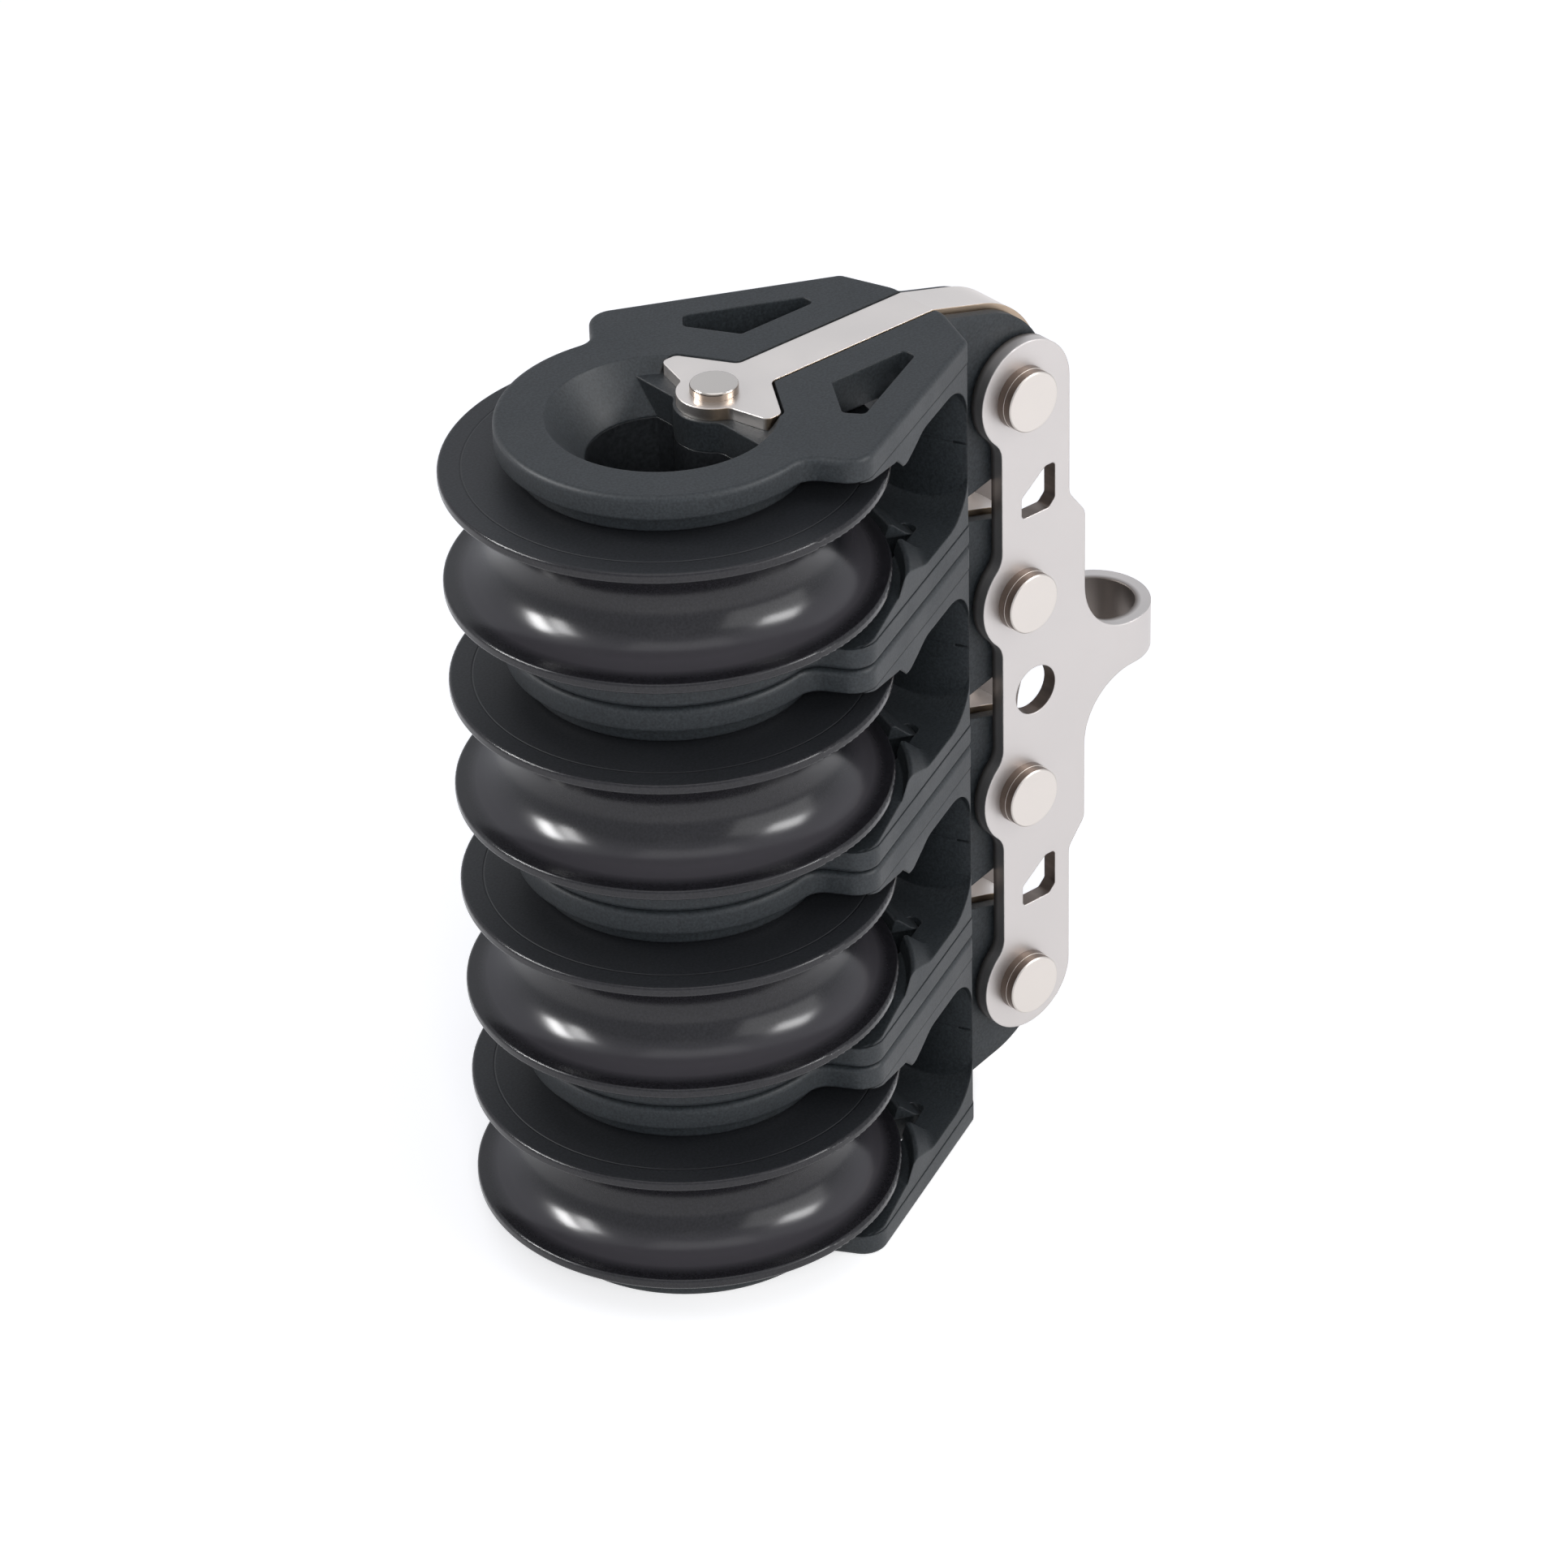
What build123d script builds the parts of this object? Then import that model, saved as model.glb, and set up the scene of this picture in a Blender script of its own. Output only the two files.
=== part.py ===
"""A quad block for sailing lines: four ball-bearing blocks side by side on one stainless head.

Millimetres, +Z up, along the stack of blocks. The origin is the centre of the round hole
through the head plates. The pins run along Y, and the sheaves lie towards -X.
"""

from build123d import *
import os
from math import cos, hypot, pi, radians, sin, sqrt

os.makedirs("parts", exist_ok=True)

# Stack
block_count = 4
block_pitch = 21.4
stack_gap = 0.1  # between the cheeks of neighbouring blocks
rim_to_pin = 17.8
hole_to_pin = 1.6

# Sheave and its ball bearing
sheave_r = 20.0
sheave_width = 12.1
rim_width = 1.05
rim_round = 0.3
groove_depth = 5.5
sheave_web = 3.3  # from the groove's floor to the circle of the balls
ball_r = 1.5
ball_play = 0.1
ball_spacing = 1.05  # in ball widths
race_sides = 8  # flats round a ball's section
race_gap = 1.6  # between the hub's land and the sheave's bore
hub_wall = 3.5  # round the hole for a lashing

# Cheeks
cheek_thickness = 2.2
cheek_round = 0.5
disc_margin = 3.7  # outside the circle of the balls
collar_margin = 2.0
disc_rim = 4.5  # flat round the dished hole
sheave_side_gap = 0.35
shoulder_root_x = 2.5
shoulder_root_drop = 2.4  # below the disc's radius
shoulder_x = 7.0
shoulder_drop = 1.2  # below the sheave's radius
head_corner_y = 8.6
head_corner_wall = 0.2  # past the head wall's inner face
head_end_y = 3.4
head_taper = 1.9  # from the head's corners to its end
shoulder_round = 2.4
shoulder_fillet = 2.2
head_corner_round = 1.0
head_end_round = 3.0

# Opening for the line
line_gap = 8.2  # from the sheave's rim to the head wall
line_gap_round = 4.0
lip_inset = 0.05
lip_thickness = 1.45
lip_start_x = 6.5
lip_full_x = 13.2
seam_height = 0.12
seam_depth = 0.3
split_depth = 1.2  # of the notch between the halves
pad_half = 8.5
pad_bulge = 2.3
fence_gap = 0.65  # outside the sheave's rim
fence_drop = 1.35
fence_lean = 0.45
fence_tip = 0.35
fence_flank = 1.6
fence_foot = 0.9
fence_round = 0.25
fence_foot_round = 1.2
fence_break_angle = 23.5
fence_break = 2.6

# Windows in the cheeks
window_edge_y = 6.1
window_head = 3.0  # outside the sheave's rim
window_hub = 0.5  # inside the disc's rim
window_corner = 3.4
window_corner_drop = 1.58  # below the tip
window_border = 3.3
window_tip = 1.3
window_round = 0.55

# Strap
strap_width = 4.4
strap_thickness = 1.2
strap_recess = 0.05
strap_slope = 15.0
loop_to_pin = 4.2
loop_r = 9.3
strap_side_gap = 0.3
strap_seat_gap = 0.02
neck_past_dish = 0.3
neck_round = 1.0
tail_tip_back = 3.9  # from the neck
tail_tip_y = 7.2
tail_tip_width = 1.6
tail_tip_round = 0.7
tail_waist_back = 5.8
tail_waist_y = 3.0
rivet_back = 4.7
tail_pad_r = 3.4
tail_round = 0.9
rivet_r = 1.5
rivet_play = 0.05
rivet_head_r = 2.2
rivet_head_height = 0.85
rivet_head_round = 0.25
boss_face_back = 6.7
boss_margin = 0.3
boss_round = 1.2
boss_overlap = 0.5  # of the hub's filled side into its ring

# Nose
nose_width = 7.2
ridge_drop = 0.5
nose_fillet = 2.0
pin_r = 2.5
pin_play = 0.1

# Head plates
plate_thickness = 1.5
nose_side_gap = 0.35
hole_r = 2.5
lobe_r = 5.4
lobe_shift = 0.5
neck_left = 2.5
edge_right = 5.9
middle_right = 7.9
middle_half = 17.0
middle_slope = 2.6
tab_half = 2.35
tab_fillet = 6.4
bend_x = 14.2  # from the pins to the eye's bend centre
lobe_fillet = 2.5
step_round = 1.5
slot_x = 2.0
slot_width = 4.2
slot_height = 4.6
slot_slant = 2.4
slot_corner = 0.8
slot_tip = 1.2
slot_round = 0.45

# Clevis pins
pin_head_r = 2.98
pin_head_height = 0.85
pin_head_chamfer = 0.12
washer_r = 3.05
washer_thickness = 0.75

# Derived places
pin_x = -hole_to_pin
pin_to_sheave = sheave_r + rim_to_pin
sheave_x = pin_x - pin_to_sheave
cheek_top = (block_pitch - stack_gap) / 2
cheek_under = cheek_top - cheek_thickness
lip_under = cheek_under - lip_thickness
collar_under = sheave_width / 2 + sheave_side_gap
strap_top = cheek_top - strap_recess
strap_under = strap_top - strap_thickness
slope = radians(strap_slope)
ball_circle_r = sheave_r - groove_depth - sheave_web
ball_count = int(pi * ball_circle_r / (ball_r * ball_spacing))
land_r = ball_circle_r - race_gap / 2
bore_r = ball_circle_r + race_gap / 2
race_r = ball_r + ball_play
race_turn = 180 / race_sides  # so that one pair of flats lies level
lashing_r = land_r - hub_wall
disc_r = ball_circle_r + disc_margin
collar_r = ball_circle_r + collar_margin
dish_r = disc_r - disc_rim
shoulder_root_y = disc_r - shoulder_root_drop
shoulder_y = sheave_r - shoulder_drop
line_gap_x = sheave_r + line_gap
head_corner_x = line_gap_x + head_corner_wall
head_end_x = head_corner_x + head_taper
pad_r = (pad_half**2 + pad_bulge**2) / (2 * pad_bulge)
fence_r = sheave_r + fence_gap
window_head_x = sheave_r + window_head
window_hub_x = disc_r - window_hub
window_corner_x = disc_r - window_corner
loop_x = pin_to_sheave - loop_to_pin
neck_x = dish_r + neck_past_dish
tail_tip_x = neck_x - tail_tip_back
tail_waist_x = neck_x - tail_waist_back
rivet_x = neck_x - rivet_back
boss_face_x = neck_x - boss_face_back
nose_half = nose_width / 2
plate_in = nose_half + nose_side_gap
plate_out = plate_in + plate_thickness
bend_place_x = pin_x + bend_x
block_heights = [(block_count - 1) / 2 * block_pitch - i * block_pitch for i in range(block_count)]
stack_reach = block_count * block_pitch
same = 0.01  # how near two places are to count as one


def level(z_block, height=0.0):
    """The flat plane at a height above a block's mid plane, with its origin on the sheave axis."""
    return Plane(origin=(sheave_x, 0, z_block + height))


def side(z_block):
    """The upright plane through a block, its own X along the block and its own Y upwards."""
    return Plane(origin=(sheave_x, 0, z_block), x_dir=(1, 0, 0), z_dir=(0, -1, 0))


def finish(part, name):
    """Name a finished piece and write it."""
    part.label = name
    export_step(part, f"parts/{name}.step")


def draw_cheek(inset=0.0, mode=Mode.ADD):
    """Draw the cheek's outline, moved inwards by an inset: a disc with a tapered head."""
    with BuildSketch(mode=Mode.PRIVATE) as outline:
        upper = [
            (shoulder_root_x, shoulder_root_y),
            (shoulder_x, shoulder_y),
            (head_corner_x, head_corner_y),
            (head_end_x, head_end_y),
        ]
        lower = [(x, -y) for x, y in reversed(upper)]
        Polygon(*upper, *lower, align=None)
        corners = outline.vertices()
        fillet([v for v in corners if abs(v.X - shoulder_x) < same], shoulder_round)
        fillet([v for v in outline.vertices() if abs(v.X - head_corner_x) < same], head_corner_round)
        fillet([v for v in outline.vertices() if abs(v.X - head_end_x) < same], head_end_round)
        Circle(disc_r)
        meets = [v for v in outline.vertices() if abs(hypot(v.X, v.Y) - disc_r) < same and v.X > 0]
        fillet(meets, shoulder_fillet)
        if inset:
            offset(amount=-inset, mode=Mode.REPLACE)
    add(outline.sketch, mode=mode)


def draw_loop(inset, mode=Mode.ADD):
    """Draw all that lies inside the strap's loop, moved inwards by an inset, on a side plane."""
    radius = loop_r - inset
    height = strap_top - inset
    flat_end_x = loop_x + (radius - height * cos(slope)) / sin(slope)
    touch_x = loop_x + radius * sin(slope)
    touch_y = radius * cos(slope)
    upper = [(0, height), (flat_end_x, height), (touch_x, touch_y)]
    lower = [(x, -y) for x, y in reversed(upper)]
    Polygon(*upper, *lower, align=None, mode=mode)
    with Locations((loop_x, 0)):
        Circle(radius, mode=mode)


def draw_fishtail(margin=0.0):
    """Draw the forked end of the strap, round its rivet, with a margin all round."""
    with BuildSketch(mode=Mode.PRIVATE) as tail:
        upper = [
            (neck_x, strap_width / 2),
            (tail_tip_x + tail_tip_width / 2, tail_tip_y),
            (tail_tip_x - tail_tip_width / 2, tail_tip_y),
            (tail_waist_x, tail_waist_y),
        ]
        lower = [(x, -y) for x, y in reversed(upper)]
        Polygon(*upper, *lower, align=None)
        tips = [v for v in tail.vertices() if abs(abs(v.Y) - tail_tip_y) < same]
        fillet(tips, tail_tip_round)
        with Locations((rivet_x, 0)):
            Circle(tail_pad_r)
        on_pad = [v for v in tail.vertices() if abs(hypot(v.X - rivet_x, v.Y) - tail_pad_r) < same]
        fillet([v for v in on_pad if v.X < rivet_x], tail_round)
        if margin:
            offset(amount=margin, kind=Kind.ARC, mode=Mode.REPLACE)
    add(tail.sketch)


def draw_boss(reach):
    """Draw the hub's filled side that carries the strap's end, out to a radius."""
    boss_r = tail_pad_r + boss_margin
    with BuildSketch(mode=Mode.PRIVATE) as boss:
        with Locations((boss_face_x, 0)):
            Rectangle(2 * reach, 2 * reach, align=(Align.MIN, Align.CENTER))
        with Locations((rivet_x, 0)):
            Circle(boss_r)
        on_circle = [v for v in boss.vertices() if abs(hypot(v.X - rivet_x, v.Y) - boss_r) < same]
        fillet([v for v in on_circle if v.X < rivet_x], boss_round)
        Circle(reach, mode=Mode.INTERSECT)
    add(boss.sketch)


def window_points(sign):
    """The corners of one window: one edge along the strap, one along the cheek's taper."""
    fall = (shoulder_y - head_corner_y) / (head_corner_x - shoulder_x)
    border_y = window_border * sqrt(1 + fall**2)

    def outer_y(x):
        return shoulder_y - fall * (x - shoulder_x) - border_y

    tip_x = window_corner_x + window_tip
    points = [
        (window_hub_x, window_edge_y),
        (window_corner_x, outer_y(tip_x) - window_corner_drop),
        (tip_x, outer_y(tip_x)),
        (window_head_x, outer_y(window_head_x)),
        (window_head_x, window_edge_y),
    ]
    return [(x, sign * y) for x, y in points]


def make_cheek(z_block):
    """The cheek's flat plate with its rounded rim, before anything is cut in it."""
    with BuildPart() as cheek:
        with BuildSketch(level(z_block, cheek_under)):
            draw_cheek()
        extrude(amount=cheek_thickness)
        fillet(cheek.faces().sort_by(Axis.Z)[-1].edges(), cheek_round)
    return cheek.part


def make_fence(z_block):
    """The lip's ridge outside the sheave's rim, which keeps the line out of the side gap."""
    tip_r = fence_r + fence_lean
    tip_z = lip_under - fence_drop
    foot_r = tip_r + fence_tip + fence_flank
    outer_r = foot_r + fence_foot
    with BuildPart() as fence:
        with BuildSketch(side(z_block)) as section:
            Polygon(
                (fence_r, cheek_under),
                (fence_r, lip_under),
                (tip_r, tip_z),
                (tip_r + fence_tip, tip_z),
                (foot_r, lip_under),
                (outer_r, lip_under),
                (outer_r, cheek_under),
                align=None,
            )
            fillet([v for v in section.vertices() if abs(v.Y - tip_z) < same], fence_round)
            fillet([v for v in section.vertices() if abs(v.X - foot_r) < same], fence_foot_round)
        revolve(axis=Axis((sheave_x, 0, z_block), (0, 0, 1)))
        with BuildSketch(level(z_block, tip_z)):
            draw_cheek(lip_inset)
            for angle in (fence_break_angle, -fence_break_angle):
                with PolarLocations(sheave_r, 1, start_angle=angle):
                    Rectangle(2 * line_gap, fence_break, mode=Mode.SUBTRACT)
        extrude(amount=cheek_under - seam_height - tip_z, mode=Mode.INTERSECT)
    return fence.part


def make_upper_shell(number, z_block):
    """One moulded half of a block: cheek, dish, head wall and half of the nose."""
    nose_top = cheek_top - ridge_drop
    nose_end_x = loop_x + loop_r
    cheek = make_cheek(z_block)
    fence = make_fence(z_block)
    with BuildPart() as shell:
        # The nose and the wall that it grows from, under the strap's slope
        with BuildSketch(level(z_block)):
            draw_cheek(lip_inset)
            with Locations((line_gap_x, 0)):
                Rectangle(nose_end_x, 2 * sheave_r, align=(Align.MIN, Align.CENTER), mode=Mode.INTERSECT)
                Rectangle(nose_end_x - line_gap_x, nose_width, align=(Align.MIN, Align.CENTER))
        extrude(amount=nose_top)
        root_edges = [
            e
            for e in shell.edges().filter_by(Axis.Z)
            if abs(abs(e.center().Y) - nose_half) < same and e.center().X < pin_x
        ]
        fillet(root_edges, nose_fillet)
        with BuildSketch(side(z_block)):
            draw_loop(ridge_drop)
            Rectangle(head_end_x, nose_top, align=(Align.MIN, Align.MIN))
        extrude(amount=sheave_r, both=True, mode=Mode.INTERSECT)

        # The cheek, and under it the lip, with a thin seam groove between them
        add(cheek)
        for start, inset, height in (
            (0, lip_inset, cheek_under - seam_height),
            (cheek_under - seam_height, seam_depth, seam_height),
        ):
            with BuildSketch(level(z_block, start)):
                draw_cheek(inset)
                with Locations((lip_start_x, 0)):
                    Rectangle(nose_end_x, 2 * sheave_r, align=(Align.MIN, Align.CENTER), mode=Mode.INTERSECT)
            extrude(amount=height)

        # The opening for the line
        with BuildSketch(side(z_block)) as opening:
            upper = [
                (0, cheek_under),
                (lip_start_x, cheek_under),
                (lip_full_x, lip_under),
                (line_gap_x, lip_under),
            ]
            Polygon(*upper, (line_gap_x, -lip_under), (0, -lip_under), align=None)
            fillet([v for v in opening.vertices() if v.X > line_gap_x - same], line_gap_round)
        extrude(amount=sheave_r, both=True, mode=Mode.SUBTRACT)

        # The pad on the wall's inner face, and the fence round the sheave
        with BuildSketch(level(z_block)):
            draw_cheek(lip_inset)
            with Locations((line_gap_x - pad_bulge + pad_r, 0)):
                Circle(pad_r, mode=Mode.INTERSECT)
        extrude(amount=lip_under)
        add(fence)

        # The halves stand back from each other along the head wall's rim
        with BuildSketch(level(z_block)):
            draw_cheek()
            draw_cheek(split_depth, mode=Mode.SUBTRACT)
            with Locations((line_gap_x, 0)):
                Rectangle(nose_end_x, nose_width + 2 * nose_fillet, mode=Mode.SUBTRACT)
        extrude(amount=seam_height, mode=Mode.SUBTRACT)

        # The collar over the bearing, the dished hole, and the boss under the strap's end
        with BuildSketch(level(z_block, collar_under)):
            Circle(collar_r)
        extrude(amount=cheek_under - collar_under)
        with Locations(level(z_block, collar_under)):
            Cone(
                lashing_r,
                dish_r,
                cheek_top - collar_under,
                align=(Align.CENTER, Align.CENTER, Align.MIN),
                mode=Mode.SUBTRACT,
            )
        with BuildSketch(level(z_block, collar_under)):
            draw_boss(dish_r)
        extrude(amount=strap_under - strap_seat_gap - collar_under)

        # The strap's channel, its forked end's seat, and the windows
        channel_start = neck_x - strap_width / 2
        with BuildSketch(side(z_block)):
            with Locations((channel_start, 0)):
                Rectangle(2 * nose_end_x, 2 * cheek_top, align=Align.MIN)
            draw_loop(strap_thickness + strap_seat_gap, mode=Mode.SUBTRACT)
        extrude(amount=strap_width / 2 + strap_side_gap, both=True, mode=Mode.SUBTRACT)
        with BuildSketch(level(z_block, strap_under - strap_seat_gap)):
            draw_fishtail(strap_side_gap)
        extrude(amount=cheek_top, mode=Mode.SUBTRACT)
        with BuildSketch(level(z_block, lip_under)) as windows:
            for sign in (1, -1):
                Polygon(*window_points(sign), align=None)
            fillet(windows.vertices(), window_round)
        extrude(amount=cheek_top, mode=Mode.SUBTRACT)

        # The rivet's hole and the pin's bore
        with BuildSketch(level(z_block)):
            with Locations((rivet_x, 0)):
                Circle(rivet_r + rivet_play)
        extrude(amount=cheek_top, mode=Mode.SUBTRACT)
        with BuildSketch(side(z_block)):
            with Locations((pin_to_sheave, 0)):
                Circle(pin_r + pin_play)
        extrude(amount=nose_width, both=True, mode=Mode.SUBTRACT)
    finish(shell.part, f"upper_shell_{number}")
    return shell


def make_lower_shell(number, z_block, upper_shell):
    """The other half, moulded as the mirror image of the upper one."""
    with BuildPart() as shell:
        mirror(upper_shell.part, about=level(z_block))
    finish(shell.part, f"lower_shell_{number}")


def draw_race(mode):
    """Draw the section of the balls' track, whose flats the balls touch."""
    RegularPolygon(race_r, race_sides, major_radius=False, rotation=race_turn, mode=mode)


def make_sheave(number, z_block):
    """The grooved wheel, with the outer race of its bearing turned in its bore."""
    rim_z = sheave_width / 2
    lip_z = rim_z - rim_width
    with BuildPart() as sheave:
        with BuildSketch(side(z_block)) as section:
            with BuildLine():
                Polyline((sheave_r, lip_z), (sheave_r, rim_z), (bore_r, rim_z), (bore_r, -rim_z))
                Polyline((bore_r, -rim_z), (sheave_r, -rim_z), (sheave_r, -lip_z))
                ThreePointArc((sheave_r, -lip_z), (sheave_r - groove_depth, 0), (sheave_r, lip_z))
            make_face()
            rim_corners = [v for v in section.vertices() if abs(v.X - sheave_r) < same]
            fillet(rim_corners, rim_round)
            with Locations((ball_circle_r, 0)):
                draw_race(Mode.SUBTRACT)
        revolve(axis=Axis((sheave_x, 0, z_block), (0, 0, 1)))
    finish(sheave.part, f"sheave_{number}")


def make_hub(number, z_block):
    """The inner race, clamped between the shells, with the open hole for a lashing."""
    with BuildPart() as hub:
        with BuildSketch(level(z_block, -collar_under)):
            Circle(land_r)
            Circle(lashing_r, mode=Mode.SUBTRACT)
            draw_boss(lashing_r + boss_overlap)
            with Locations((rivet_x, 0)):
                Circle(rivet_r + rivet_play, mode=Mode.SUBTRACT)
        extrude(amount=2 * collar_under)
        with BuildSketch(side(z_block)):
            with Locations((ball_circle_r, 0)):
                draw_race(Mode.ADD)
        revolve(axis=Axis((sheave_x, 0, z_block), (0, 0, 1)), mode=Mode.SUBTRACT)
    finish(hub.part, f"hub_{number}")


def make_balls(number, z_block):
    """The ring of bearing balls."""
    with BuildPart() as balls:
        with Locations(level(z_block)):
            with PolarLocations(ball_circle_r, ball_count):
                Sphere(ball_r)
    finish(balls.part, f"bearing_balls_{number}")


def make_strap(number, z_block):
    """The stainless strap: one strip bent round the nose, forked at both riveted ends."""
    with BuildPart() as strap:
        with BuildSketch(side(z_block)):
            draw_loop(0)
            draw_loop(strap_thickness, mode=Mode.SUBTRACT)
            with Locations((neck_x - strap_width / 2, 0)):
                Rectangle(neck_x, block_pitch, align=(Align.MAX, Align.CENTER), mode=Mode.SUBTRACT)
        extrude(amount=strap_width / 2, both=True)
        for height in (strap_under, -strap_top):
            with BuildSketch(level(z_block, height)):
                draw_fishtail()
            extrude(amount=strap_thickness)
        neck = [e for e in strap.edges().filter_by(Axis.Z) if abs(e.center().X - sheave_x - neck_x) < same]
        fillet(neck, neck_round)
        with BuildSketch(level(z_block)):
            with Locations((rivet_x, 0)):
                Circle(rivet_r + rivet_play)
        extrude(amount=cheek_top, both=True, mode=Mode.SUBTRACT)
    finish(strap.part, f"strap_{number}")


def make_hub_rivet(number, z_block, head_height):
    """The rivet through strap, shells and hub: proud only where no neighbour lies against it."""
    with BuildPart() as rivet:
        with BuildSketch(level(z_block, -strap_top)):
            with Locations((rivet_x, 0)):
                Circle(rivet_r)
        extrude(amount=2 * strap_top)
        if head_height:
            with BuildSketch(level(z_block, strap_top)):
                with Locations((rivet_x, 0)):
                    Circle(rivet_head_r)
            extrude(amount=head_height)
            fillet(rivet.edges().sort_by(Axis.Z)[-1], rivet_head_round)
    finish(rivet.part, f"hub_rivet_{number}")


def make_clevis_pin(number, z_block):
    """The pin that a block hangs on, headed at both ends outside its washers."""
    head_face = plate_out + washer_thickness
    centre = side(z_block)
    with BuildPart() as pin:
        with BuildSketch(centre):
            with Locations((pin_to_sheave, 0)):
                Circle(pin_r)
        extrude(amount=head_face, both=True)
        for face in (head_face, -head_face - pin_head_height):
            with BuildSketch(centre.offset(face)):
                with Locations((pin_to_sheave, 0)):
                    Circle(pin_head_r)
            extrude(amount=pin_head_height)
        rims = pin.edges().filter_by(GeomType.CIRCLE).sort_by(Axis.Y)
        chamfer([rims[0], rims[-1]], pin_head_chamfer)
    finish(pin.part, f"clevis_pin_{number}")


def make_pin_washers(number, z_block):
    """The two washers of a pin, one under each head."""
    centre = side(z_block)
    with BuildPart() as washers:
        for face in (plate_out, -plate_out - washer_thickness):
            with BuildSketch(centre.offset(face)):
                with Locations((pin_to_sheave, 0)):
                    Circle(washer_r)
                    Circle(pin_r + pin_play / 2, mode=Mode.SUBTRACT)
            extrude(amount=washer_thickness)
    finish(washers.part, f"pin_washers_{number}")


def draw_slot(z_slot):
    """Draw a lightening slot with its upper corner on the pins' side cut on a slant."""
    left = pin_x + slot_x - slot_width / 2
    right = left + slot_width
    bottom = z_slot - slot_height / 2
    top = z_slot + slot_height / 2
    points = [
        (left, bottom),
        (right - slot_corner, bottom),
        (right, bottom + slot_corner),
        (right, top),
        (right - slot_tip, top),
        (left, top - slot_slant),
    ]
    Polygon(*points, align=None)


def make_head_plates():
    """Both head plates and the eye between them, folded from one piece of stainless sheet."""
    end_z = block_heights[0]
    step_z = middle_half + middle_slope
    left_x = pin_x - lobe_r
    with BuildPart() as plates:
        with BuildSketch(Plane.XY.offset(-stack_reach / 2)):
            with Locations((left_x, 0)):
                Rectangle(bend_place_x - left_x, 2 * plate_out, align=(Align.MIN, Align.CENTER))
            with Locations((bend_place_x, 0)):
                Circle(plate_out)
                Circle(plate_in, mode=Mode.SUBTRACT)
            with Locations((left_x, 0)):
                Rectangle(
                    bend_place_x - left_x,
                    2 * plate_in,
                    align=(Align.MIN, Align.CENTER),
                    mode=Mode.SUBTRACT,
                )
        extrude(amount=stack_reach)
        with BuildSketch(Plane.XZ) as outline:
            upper_right = [
                (pin_x + middle_right, tab_half),
                (pin_x + middle_right, middle_half),
                (pin_x + edge_right, step_z),
                (pin_x + edge_right, end_z),
            ]
            lower_right = [(x, -z) for x, z in reversed(upper_right)]
            left_side = [(pin_x - neck_left, -end_z), (pin_x - neck_left, end_z)]
            Polygon(*upper_right, *reversed(left_side), *lower_right, align=None)
            steps = [v for v in outline.vertices() if middle_half - same < abs(v.Y) < step_z + same]
            fillet(steps, step_round)
            with Locations(*[(pin_x + lobe_shift, z) for z in block_heights]):
                Circle(lobe_r)
            on_neck = [v for v in outline.vertices() if abs(v.X - pin_x + neck_left) < same]
            neck_corners = [v for v in on_neck if abs(v.Y) < end_z]
            fillet(neck_corners, lobe_fillet)
            with Locations((pin_x, 0)):
                Rectangle(bend_x + plate_out, 2 * tab_half, align=(Align.MIN, Align.CENTER))
            on_tab = [v for v in outline.vertices() if abs(abs(v.Y) - tab_half) < same]
            fillet([v for v in on_tab if v.X < bend_place_x], tab_fillet)
        extrude(amount=stack_reach, both=True, mode=Mode.INTERSECT)
        with BuildSketch(Plane.XZ) as holes:
            Circle(hole_r)
            with Locations(*[(pin_x, z) for z in block_heights]):
                Circle(pin_r + pin_play / 2)
        extrude(amount=stack_reach, both=True, mode=Mode.SUBTRACT)
        with BuildSketch(Plane.XZ) as slots:
            for z_slot in (block_pitch, -block_pitch):
                draw_slot(z_slot)
            fillet(slots.vertices(), slot_round)
        extrude(amount=stack_reach, both=True, mode=Mode.SUBTRACT)
    finish(plates.part, "head_plates")


for number, z_block in enumerate(block_heights, start=1):
    upper = make_upper_shell(number, z_block)
    make_lower_shell(number, z_block, upper)
    make_sheave(number, z_block)
    make_hub(number, z_block)
    make_balls(number, z_block)
    make_strap(number, z_block)
    make_hub_rivet(number, z_block, rivet_head_height if number == 1 else 0)
    make_clevis_pin(number, z_block)
    make_pin_washers(number, z_block)
make_head_plates()
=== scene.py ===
"""The quad block's visual model: its finishes and fine details, the studio and the camera."""

import math

import bpy
from mathutils import Matrix, Vector


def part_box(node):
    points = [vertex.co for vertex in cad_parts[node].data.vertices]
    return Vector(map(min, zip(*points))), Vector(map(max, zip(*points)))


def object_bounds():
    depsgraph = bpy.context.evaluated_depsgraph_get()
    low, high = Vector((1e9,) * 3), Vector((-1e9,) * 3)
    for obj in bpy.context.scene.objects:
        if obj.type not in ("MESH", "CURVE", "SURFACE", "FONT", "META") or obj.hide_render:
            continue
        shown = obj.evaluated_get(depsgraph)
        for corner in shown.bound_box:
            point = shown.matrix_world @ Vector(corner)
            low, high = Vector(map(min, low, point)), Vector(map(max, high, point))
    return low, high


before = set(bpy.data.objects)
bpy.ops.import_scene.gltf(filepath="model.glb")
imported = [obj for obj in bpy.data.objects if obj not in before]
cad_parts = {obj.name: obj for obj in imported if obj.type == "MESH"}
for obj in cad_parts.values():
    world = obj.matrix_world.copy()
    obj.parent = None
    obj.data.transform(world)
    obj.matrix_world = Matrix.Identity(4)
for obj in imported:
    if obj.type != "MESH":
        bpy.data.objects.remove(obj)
cad_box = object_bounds()

MM = 0.001
BLOCKS = (1, 2, 3, 4)
WHITE = (1.0, 1.0, 1.0)

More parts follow.
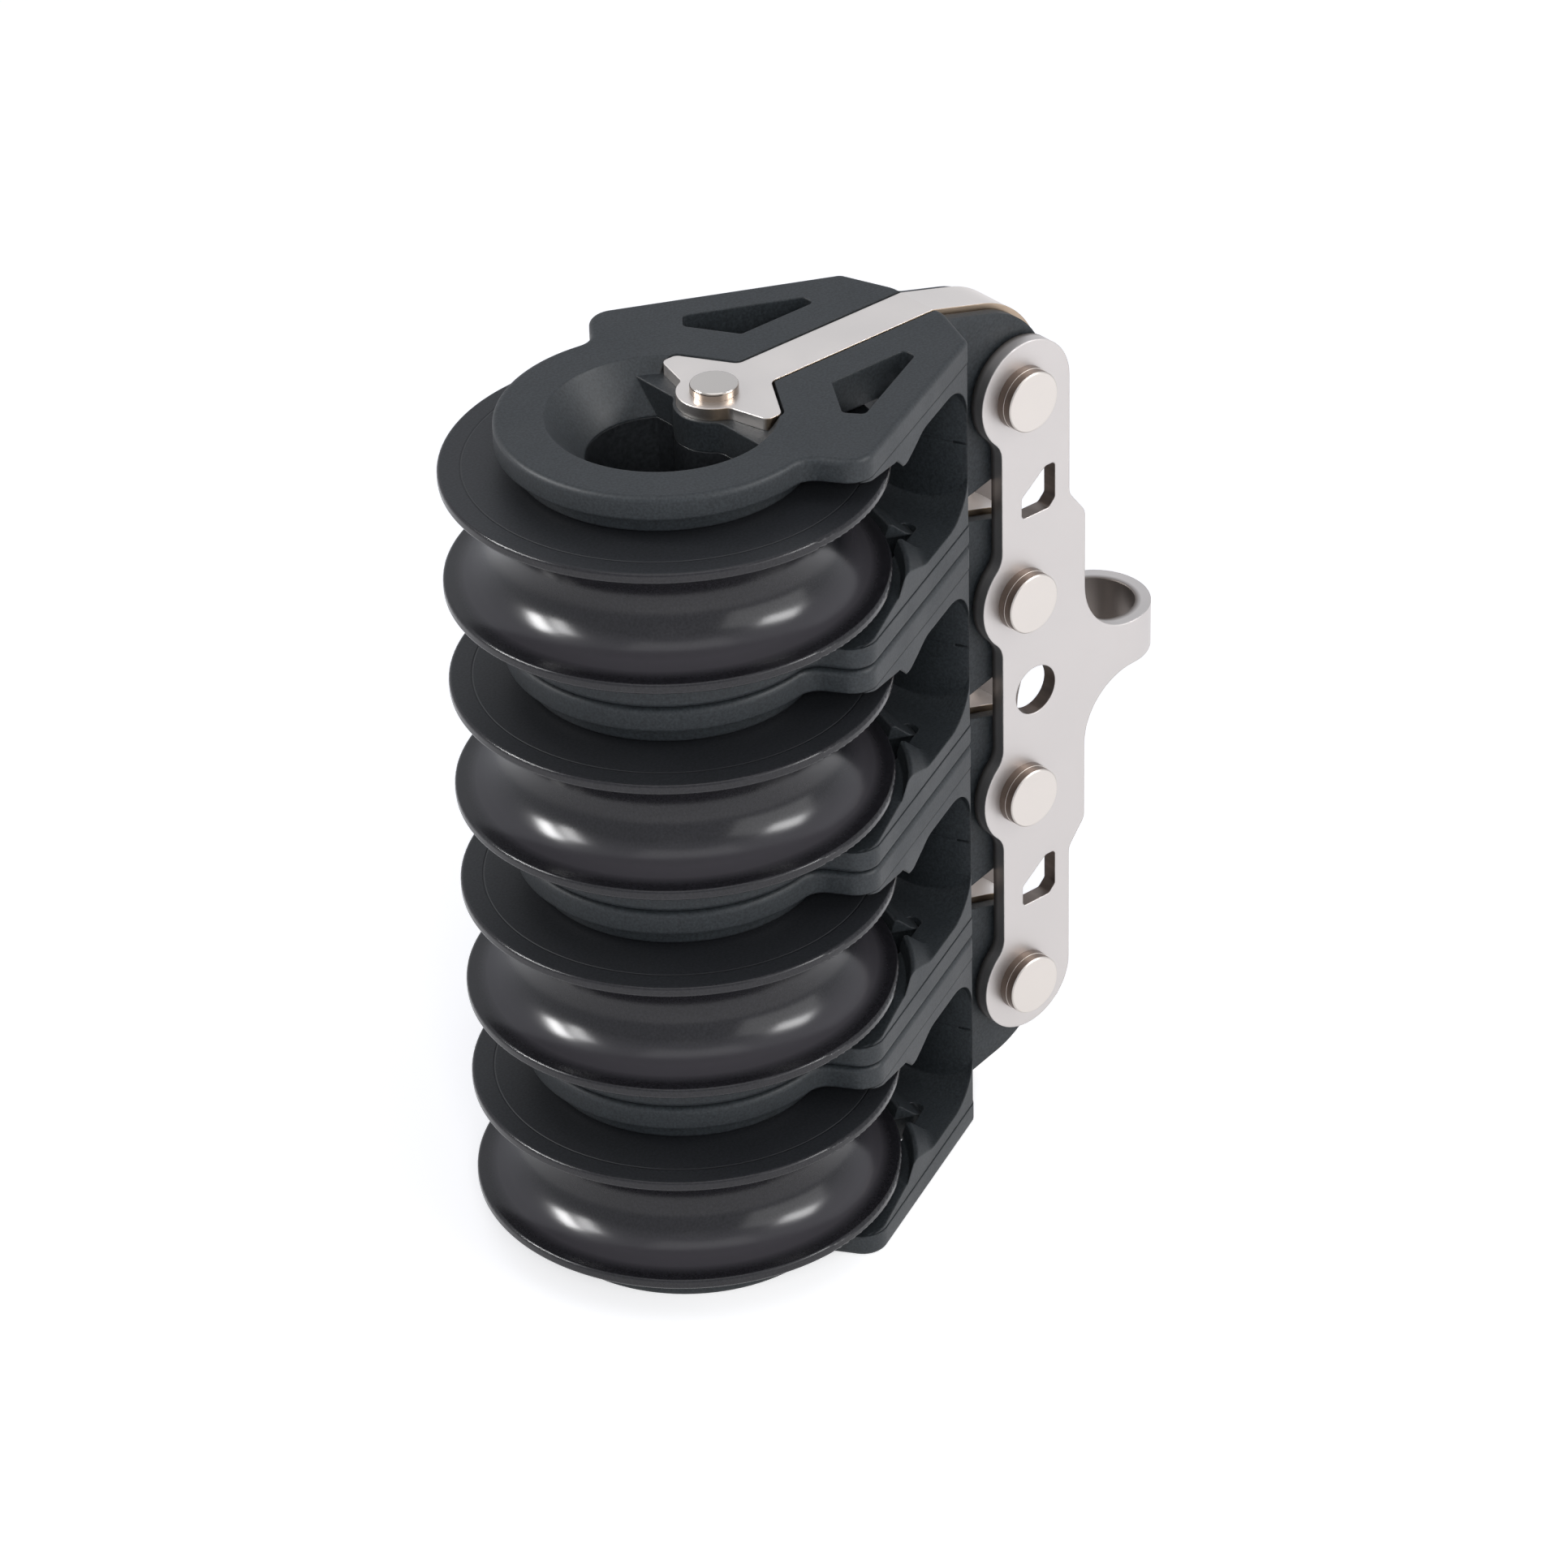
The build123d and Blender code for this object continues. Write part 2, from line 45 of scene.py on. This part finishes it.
# The photograph's view
VIEW_AZIMUTH = math.radians(-40.0)
VIEW_ELEVATION = math.radians(32.66)
VIEW_ROLL = math.radians(-1.59)
VIEW_DISTANCE = 586.958 * MM
TARGET_RIGHT = -8.758 * MM  # where the view's target shows, from the picture's centre
TARGET_UP = -3.479 * MM
FOCAL_PIXELS = 7939.0
LONG_SIDE_PIXELS = 1932
SENSOR_MM = 36.0
NEAR_CLIP = 50 * MM
FAR_CLIP = 20.0

# Places from the frame
sheave_low, sheave_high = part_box("sheave_1")
plate_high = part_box("head_plates")[1]
SHEAVE_X = (sheave_low.x + sheave_high.x) / 2
SHEAVE_R = (sheave_high.x - sheave_low.x) / 2
SHEAVE_HALF = (sheave_high.z - sheave_low.z) / 2
BLOCK_PITCH = (sheave_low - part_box("sheave_2")[0]).z
BEND_X = plate_high.x - plate_high.y  # the centre of the eye's bend
FLOOR_Z = cad_box[0].z

# Zones of the sheaves and head plates with a finish of their own, with painted sheen on the grooves'
# flanks and painted shade within the plates' fold
SHEAVE_RIM = 1.05 * MM
FACE_DEPTH = 0.5 * MM  # under the sheave's side
# where the painted sheen on the grooves' flanks starts and is full
FLANK_START = 2.8 * MM  # from the sheave's middle plane
FLANK_FULL = 4.4 * MM
TURNED_LINE_IN = 2.1 * MM  # from the sheave's rim
TURNED_LINE_HALF = 0.12 * MM
ZONE_FADE = 0.2 * MM
PLATE_THICKNESS = 1.5 * MM
# where the painted shade within the plates' fold starts and fades
INSIDE_START = 0.1 * MM  # into the sheet, from its inner face
INSIDE_FADE = 0.5 * MM
HOLE_REACH_X = 3.2 * MM
HOLE_REACH_Z = 30.0 * MM
HOLE_FADE_Z = 1.0 * MM

# Grains, in waves to a metre
SHELL_GRAIN = 4300.0
HUB_GRAIN = 3000.0
BALL_GRAIN = 2000.0
SHEAVE_MOTTLE = 220.0
PLASTIC_MOTTLE = 160.0
STEEL_MOTTLE = 140.0
PLATE_GRAIN = 2600.0
STRAP_GRAIN = 2600.0
PIN_GRAIN = 2200.0
RIVET_GRAIN = 1500.0
HOLE_STREAKS = 900.0

# Base colours
SHELL_BLACK = (0.024, 0.0285, 0.0315)
HUB_BLACK = (0.022, 0.024, 0.026)
BALL_WHITE = (0.72, 0.72, 0.69)
GROOVE_DARK = (0.010, 0.0095, 0.011)
GROOVE_PALE = (0.022, 0.021, 0.0245)
# painted sheen: the grooves' flanks are paler than their middle
FLANK_PAINTED_SHEEN = (0.062, 0.058, 0.064)
FACE_DARK = (0.010, 0.011, 0.0125)
FACE_PALE = (0.026, 0.028, 0.032)
LINE_GREY = (0.015, 0.016, 0.018)
PLATE_DULL = (0.61, 0.578, 0.56)
PLATE_PALE = (0.65, 0.615, 0.597)
# painted shade within the plates' fold and eye
PLATE_FOLD_SHADE = (0.20, 0.175, 0.16)
HOLE_DARK = (0.10, 0.08, 0.07)
HOLE_PALE = (0.30, 0.26, 0.235)
# painted shade: the strap's edges are darker and more golden than its faces
STRAP_EDGE_SHADE = (0.50, 0.39, 0.29)
STRAP_FACES = (0.84, 0.79, 0.75)
PIN_FACES = (0.74, 0.69, 0.645)
# painted shade: the pins' and washers' sides are darker than their faces
PIN_SIDE_SHADE = (0.16, 0.125, 0.105)
RIVET_FACES = (0.68, 0.64, 0.60)
# painted shade: the rivets' sides are darker than their faces
RIVET_SIDE_SHADE = (0.30, 0.25, 0.21)

# Light
FLOOR_SIZE = 6.0
FLOOR_TONE = (0.8, 0.8, 0.8)
FLOOR_GLOW = 0.62
FLOOR_SHINE = 0.58
WORLD_LIGHT = (0.24, 0.25, 0.30)
WORLD_SHINE = (0.70, 0.72, 0.76)
LAMP_TARGET = Vector((-30 * MM, 0, 0))


class Nodes:
    """A node tree, with short calls to add and join its nodes."""

    def __init__(self, owner):
        owner.use_nodes = True
        self.tree = owner.node_tree

    def add(self, kind):
        return self.tree.nodes.new(kind)

    def join(self, start, end):
        self.tree.links.new(start, end)

    def mix(self, factor, first, second):
        """Blend two colours, each of them fixed or from a node."""
        node = self.add("ShaderNodeMix")
        node.data_type = "RGBA"
        self.join(factor, node.inputs["Factor"])
        sockets = [socket for socket in node.inputs if socket.type == "RGBA"]
        for socket, colour in zip(sockets, (first, second)):
            if isinstance(colour, tuple):
                socket.default_value = (*colour, 1)
            else:
                self.join(colour, socket)
        return [socket for socket in node.outputs if socket.type == "RGBA"][0]


class Shader(Nodes):
    """A material's node tree, with the patterns that the finishes share."""

    def __init__(self, name):
        self.material = bpy.data.materials.new(name)
        super().__init__(self.material)
        self.surface = self.tree.nodes["Principled BSDF"].inputs

    def math(self, operation, first, second=0.0):
        node = self.add("ShaderNodeMath")
        node.operation = operation
        for socket, value in zip(node.inputs, (first, second)):
            if isinstance(value, (int, float)):
                socket.default_value = value
            else:
                self.join(value, socket)
        return node.outputs[0]

    def coordinates(self, kind):
        """One kind of texture coordinate, split into X, Y and Z."""
        coords = self.add("ShaderNodeTexCoord")
        split = self.add("ShaderNodeSeparateXYZ")
        self.join(coords.outputs[kind], split.inputs[0])
        return split.outputs

    def facing(self, axis):
        """How squarely the surface faces along an axis, from 0 to 1."""
        return self.math("ABSOLUTE", self.coordinates("Normal")[axis])

    def noise(self, scale, detail=3.0, stretch=(1, 1, 1)):
        coords = self.add("ShaderNodeTexCoord")
        mapping = self.add("ShaderNodeMapping")
        mapping.inputs["Scale"].default_value = stretch
        self.join(coords.outputs["Object"], mapping.inputs["Vector"])
        noise = self.add("ShaderNodeTexNoise")
        noise.inputs["Scale"].default_value = scale
        noise.inputs["Detail"].default_value = detail
        self.join(mapping.outputs[0], noise.inputs["Vector"])
        return noise.outputs["Fac"]

    def span(self, value, low, high, out_low=0.0, out_high=1.0):
        """Map a value's range onto another, and hold it at the ends."""
        node = self.add("ShaderNodeMapRange")
        self.join(value, node.inputs["Value"])
        limits = {"From Min": low, "From Max": high, "To Min": out_low, "To Max": out_high}
        for key, number in limits.items():
            node.inputs[key].default_value = number
        return node.outputs["Result"]

    def vary(self, noise, middle, swing):
        """A value that follows a noise up and down round its middle."""
        return self.span(noise, 0.3, 0.7, middle - swing, middle + swing)

    def speckle(self, grain, broad):
        """A fine grain over a faint broad mottle, from 0 to 1."""
        grain_share = 0.8
        fine = self.span(grain, 0.32, 0.68, 0.0, grain_share)
        return self.math("ADD", fine, self.math("MULTIPLY", broad, 1 - grain_share))

    def reach(self, first, second):
        """The length of two sides at a right angle to each other."""
        squares = [self.math("MULTIPLY", side, side) for side in (first, second)]
        return self.math("SQRT", self.math("ADD", *squares))

    def bump(self, height, distance, edge):
        """Give the surface a fine relief, and its sharp edges a small round."""
        rounded = self.add("ShaderNodeBevel")
        rounded.inputs["Radius"].default_value = edge
        node = self.add("ShaderNodeBump")
        node.inputs["Distance"].default_value = distance
        self.join(height, node.inputs["Height"])
        self.join(rounded.outputs[0], node.inputs["Normal"])
        self.join(node.outputs[0], self.surface["Normal"])


def plastic(name, colour, roughness, grain_scale, grain_depth, mottle=0.45):
    """A moulded plastic with a fine grain, lighter and darker than its colour by its mottle."""
    shader = Shader(name)
    grain = shader.noise(grain_scale)
    broad = shader.noise(PLASTIC_MOTTLE)
    dark = tuple(c * (1 - mottle) for c in colour)
    light = tuple(min(1.0, c * (1 + mottle)) for c in colour)
    shader.join(shader.mix(shader.speckle(grain, broad), dark, light), shader.surface["Base Color"])
    shader.join(shader.vary(broad, roughness, 0.05), shader.surface["Roughness"])
    shader.surface["Specular IOR Level"].default_value = 0.42
    shader.bump(grain, grain_depth, 0.25 * MM)
    return shader.material


def sheave_plastic():
    """A polished groove whose flanks carry a painted sheen, paler than its middle, and matt outer
    faces that carry a fine turned line.
    """
    shader = Shader("sheave plastic")
    x, y, z = shader.coordinates("Object")
    half_pitch = BLOCK_PITCH / 2
    from_middle = shader.math("SUBTRACT", half_pitch, shader.math("PINGPONG", z, half_pitch))
    face_start = SHEAVE_HALF - FACE_DEPTH
    outside = shader.span(from_middle, face_start - ZONE_FADE, face_start)
    face = shader.math("MULTIPLY", shader.span(shader.facing(2), 0.93, 0.99), outside)
    rim_start = SHEAVE_HALF - SHEAVE_RIM
    within_rim = shader.span(from_middle, rim_start - ZONE_FADE, rim_start, 1.0, 0.0)
    # painted sheen: the groove's flanks are paler than its middle, short of the rim
    flank_sheen = shader.math("MULTIPLY", shader.span(from_middle, FLANK_START, FLANK_FULL), within_rim)
    radius = shader.reach(shader.math("SUBTRACT", x, SHEAVE_X), y)
    from_line = shader.math("ABSOLUTE", shader.math("SUBTRACT", radius, SHEAVE_R - TURNED_LINE_IN))
    line = shader.math("MULTIPLY", shader.span(from_line, 0.0, TURNED_LINE_HALF, 1.0, 0.0), face)
    speckle = shader.speckle(shader.noise(SHELL_GRAIN), shader.noise(SHEAVE_MOTTLE))
    groove = shader.mix(flank_sheen, shader.mix(speckle, GROOVE_DARK, GROOVE_PALE), FLANK_PAINTED_SHEEN)
    body = shader.mix(face, groove, shader.mix(speckle, FACE_DARK, FACE_PALE))
    shader.join(shader.mix(line, body, LINE_GREY), shader.surface["Base Color"])
    shader.join(shader.span(face, 0.0, 1.0, 0.2, 0.5), shader.surface["Roughness"])
    shader.surface["Specular IOR Level"].default_value = 0.4
    shader.bump(shader.math("MULTIPLY", line, -1.0), 0.06 * MM, 0.15 * MM)
    return shader.material


def steel(name, faces, sides, axis, roughness, grain_scale, grain_depth):
    """Stainless steel, with one colour on the faces across an axis and one on the sides round it;
    the darker of the two is painted shade.
    """
    shader = Shader(name)
    shader.surface["Metallic"].default_value = 1.0
    broad = shader.noise(STEEL_MOTTLE)
    # painted shade: the faces and the sides take their two colours by which way they face
    across = shader.span(shader.facing(axis), 0.35, 0.8)
    pale = shader.mix(across, sides, faces)
    dull = shader.mix(across, *(tuple(0.94 * c for c in colour) for colour in (sides, faces)))
    shader.join(shader.mix(broad, dull, pale), shader.surface["Base Color"])
    shader.join(shader.vary(broad, roughness, 0.04), shader.surface["Roughness"])
    shader.bump(shader.noise(grain_scale, 4.0), grain_depth, 0.15 * MM)
    return shader.material


def plate_metal():
    """Satin sheet, with painted shade within the fold and the eye, and darker walls in the holes."""
    shader = Shader("plate steel")
    shader.surface["Metallic"].default_value = 1.0
    x, y, z = shader.coordinates("Object")
    broad = shader.noise(STEEL_MOTTLE)
    sheet = shader.mix(broad, PLATE_DULL, PLATE_PALE)
    past_bend = shader.math("MAXIMUM", shader.math("SUBTRACT", x, BEND_X), 0.0)
    inside_start = plate_high.y - PLATE_THICKNESS + INSIDE_START
    from_fold = shader.reach(past_bend, y)
    # painted shade within the fold and the eye
    fold_shade = shader.span(from_fold, inside_start, inside_start + INSIDE_FADE, 1.0, 0.0)
    tone = shader.mix(fold_shade, sheet, PLATE_FOLD_SHADE)
    edge = shader.span(shader.facing(1), 0.3, 0.7, 1.0, 0.0)
    across, along = (shader.math("ABSOLUTE", side) for side in (x, z))
    near_x = shader.span(across, HOLE_REACH_X, HOLE_REACH_X + ZONE_FADE, 1.0, 0.0)
    near_z = shader.span(along, HOLE_REACH_Z, HOLE_REACH_Z + HOLE_FADE_Z, 1.0, 0.0)
    hole_wall = shader.math("MULTIPLY", edge, shader.math("MULTIPLY", near_x, near_z))
    streaks = shader.noise(HOLE_STREAKS, stretch=(1, 0.05, 1))
    tone = shader.mix(hole_wall, tone, shader.mix(streaks, HOLE_DARK, HOLE_PALE))
    shader.join(tone, shader.surface["Base Color"])
    shader.join(shader.vary(broad, 0.44, 0.04), shader.surface["Roughness"])
    shader.bump(shader.noise(PLATE_GRAIN, 4.0), 0.004 * MM, 0.2 * MM)
    return shader.material


def dress(material, *names):
    """Give CAD nodes a material."""
    for name in names:
        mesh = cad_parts[name].data
        mesh.materials.clear()
        mesh.materials.append(material)


def floor_material():
    """White to the camera and to polished metal, and it still takes the object's shadow."""
    shader = Shader("floor")
    shader.surface["Base Color"].default_value = (*FLOOR_TONE, 1)
    shader.surface["Roughness"].default_value = 1.0
    shader.surface["Emission Color"].default_value = (*WHITE, 1)
    path = shader.add("ShaderNodeLightPath").outputs
    seen = shader.math("MAXIMUM", path["Is Camera Ray"], path["Is Transmission Ray"])
    glow = shader.math("MULTIPLY", seen, FLOOR_GLOW)
    shine = shader.math("MULTIPLY", path["Is Glossy Ray"], FLOOR_SHINE)
    shader.join(shader.math("ADD", glow, shine), shader.surface["Emission Strength"])
    return shader.material


def lay_floor():
    """A wide floor that the bottom cheek stands on."""
    bpy.ops.mesh.primitive_plane_add(size=FLOOR_SIZE, location=(0, 0, FLOOR_Z))
    floor = bpy.context.object
    floor.name = "floor"
    floor.data.materials.append(floor_material())


def white_world():
    """A soft even light, brighter in reflections and plain white behind the floor's edge."""
    world = bpy.data.worlds.new("studio")
    bpy.context.scene.world = world
    nodes = Nodes(world)
    path = nodes.add("ShaderNodeLightPath").outputs
    shine = nodes.mix(path["Is Glossy Ray"], WORLD_LIGHT, WORLD_SHINE)
    colour = nodes.mix(path["Is Camera Ray"], shine, WHITE)
    nodes.join(colour, nodes.tree.nodes["Background"].inputs["Color"])


def panel_lamp(name, direction, distance, size, power):
    """A flat lamp that looks at the object from a direction."""
    lamp = bpy.data.lights.new(name, "AREA")
    lamp.shape = "RECTANGLE"
    lamp.size, lamp.size_y = size
    lamp.energy = power
    holder = bpy.data.objects.new(name, lamp)
    bpy.context.scene.collection.objects.link(holder)
    aim = Vector(direction).normalized()
    holder.location = LAMP_TARGET + aim * distance
    holder.rotation_mode = "QUATERNION"
    holder.rotation_quaternion = aim.to_track_quat("Z", "Y")
    return holder


def window(name, direction, distance, size, power):
    """A panel that only shows as a highlight."""
    panel_lamp(name, direction, distance, size, power).visible_diffuse = False


def light_studio():
    """The windows that the grooves mirror, and soft light from the right, above and the front."""
    white_world()
    pane = (0.12, 0.24)
    window("left window, dim pane", (-0.70, 0.34, 0.58), 0.75, pane, 1.5)
    window("left window, bright pane", (-0.57, 0.54, 0.58), 0.75, pane, 3.4)
    window("right window", (0.50, -0.64, 0.57), 0.75, (0.30, 0.14), 1.9)
    panel_lamp("right soft light", (0.42, -0.84, 0.38), 0.9, (0.95, 0.5), 2.35)
    panel_lamp("top light", (-0.15, -0.25, 1.0), 0.9, (0.7, 0.7), 1.3)
    fill = panel_lamp("front fill", (-0.541, -0.645, 0.54), 0.7, (0.2, 0.2), 1.7)
    fill.visible_glossy = False


def place_camera():
    """The camera that took the photograph, found from the stack of sheaves."""
    back = Vector((
        math.sin(VIEW_AZIMUTH) * math.cos(VIEW_ELEVATION),
        -math.cos(VIEW_AZIMUTH) * math.cos(VIEW_ELEVATION),
        math.sin(VIEW_ELEVATION),
    ))
    level_right = Vector((math.cos(VIEW_AZIMUTH), math.sin(VIEW_AZIMUTH), 0))
    level_up = back.cross(level_right)
    right = math.cos(VIEW_ROLL) * level_right + math.sin(VIEW_ROLL) * level_up
    up = back.cross(right)
    data = bpy.data.cameras.new("camera")
    data.sensor_width = SENSOR_MM
    data.lens = FOCAL_PIXELS / LONG_SIDE_PIXELS * SENSOR_MM
    data.clip_start = NEAR_CLIP
    data.clip_end = FAR_CLIP
    camera = bpy.data.objects.new("camera", data)
    bpy.context.scene.collection.objects.link(camera)
    target = Vector((SHEAVE_X, 0, 0))
    place = target + back * VIEW_DISTANCE - right * TARGET_RIGHT - up * TARGET_UP
    turn = Matrix((right, up, back)).transposed()
    camera.matrix_world = Matrix.Translation(place) @ turn.to_4x4()
    bpy.context.scene.camera = camera
    bpy.context.scene.view_settings.view_transform = "Standard"


shell_plastic = plastic("shell plastic", SHELL_BLACK, 0.5, SHELL_GRAIN, 0.012 * MM)
hub_plastic = plastic("hub plastic", HUB_BLACK, 0.3, HUB_GRAIN, 0.004 * MM)
ball_plastic = plastic("ball plastic", BALL_WHITE, 0.25, BALL_GRAIN, 0.001 * MM, 0.02)
plate_steel = plate_metal()
# the strap's edges and the pins' and rivets' sides carry painted shade
strap_steel = steel("strap steel", STRAP_EDGE_SHADE, STRAP_FACES, 1, 0.38, STRAP_GRAIN, 0.005 * MM)
pin_steel = steel("pin steel", PIN_FACES, PIN_SIDE_SHADE, 1, 0.36, PIN_GRAIN, 0.003 * MM)
rivet_steel = steel("rivet steel", RIVET_FACES, RIVET_SIDE_SHADE, 2, 0.14, RIVET_GRAIN, 0.003 * MM)
sheave_black = sheave_plastic()

dress(plate_steel, "head_plates")
for n in BLOCKS:
    dress(shell_plastic, f"upper_shell_{n}", f"lower_shell_{n}")
    dress(hub_plastic, f"hub_{n}")
    dress(sheave_black, f"sheave_{n}")
    dress(ball_plastic, f"bearing_balls_{n}")
    dress(strap_steel, f"strap_{n}")
    dress(rivet_steel, f"hub_rivet_{n}")
    dress(pin_steel, f"clevis_pin_{n}", f"pin_washers_{n}")

lay_floor()
light_studio()
place_camera()
